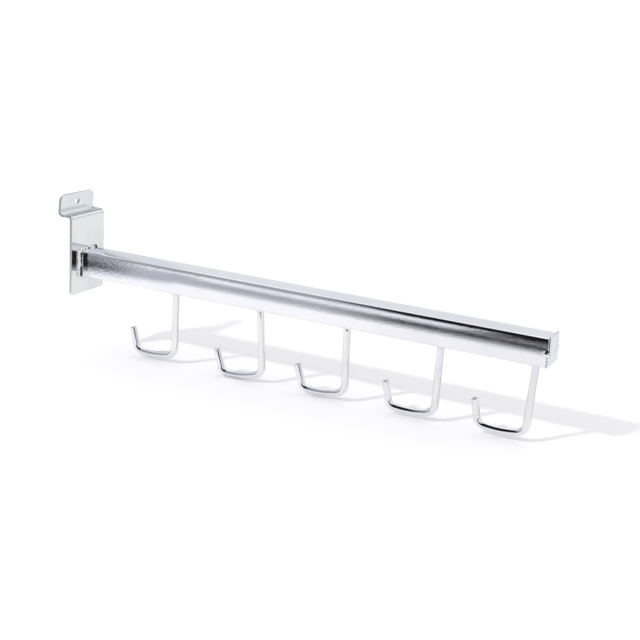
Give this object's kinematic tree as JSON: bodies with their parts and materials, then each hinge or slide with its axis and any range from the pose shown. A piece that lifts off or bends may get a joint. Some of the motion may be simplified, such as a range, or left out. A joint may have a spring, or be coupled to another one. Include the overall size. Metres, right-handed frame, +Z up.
{
  "type": "slatwall hook bracket",
  "caption": "Chromed square-tube arm on a folded slatwall back plate with a lip and screw hole, with open wire hooks under the arm for hanging goods.",
  "frame": {"origin": "on the back face of the back plate's panel, at the height of the arm's axis, where the bracket bears on the wall", "axes": "+X from the wall out along the arm, +Z up, +Y to the left of someone who faces out from the wall"},
  "size_m": [0.3728, 0.04, 0.1166],
  "materials": {
    "plate_chrome": "bright chrome plate on smooth sheet",
    "tube_chrome": "bright chrome plate on drawn tube",
    "wire_chrome": "bright chrome plate on round wire",
    "weld_chrome": "chrome plate over rough weld beads"
  },
  "bodies": {
    "root": {"back_plate": "plate_chrome", "arm_tube": "tube_chrome", "end_cap": "plate_chrome", "hook_1": "wire_chrome", "hook_2": "wire_chrome", "hook_3": "wire_chrome", "hook_4": "wire_chrome", "hook_5": "wire_chrome", "root_weld": "weld_chrome", "hook_weld_1": "weld_chrome", "hook_weld_2": "weld_chrome", "hook_weld_3": "weld_chrome", "hook_weld_4": "weld_chrome", "hook_weld_5": "weld_chrome", "cap_welds": "weld_chrome"}
  },
  "joints": []
}
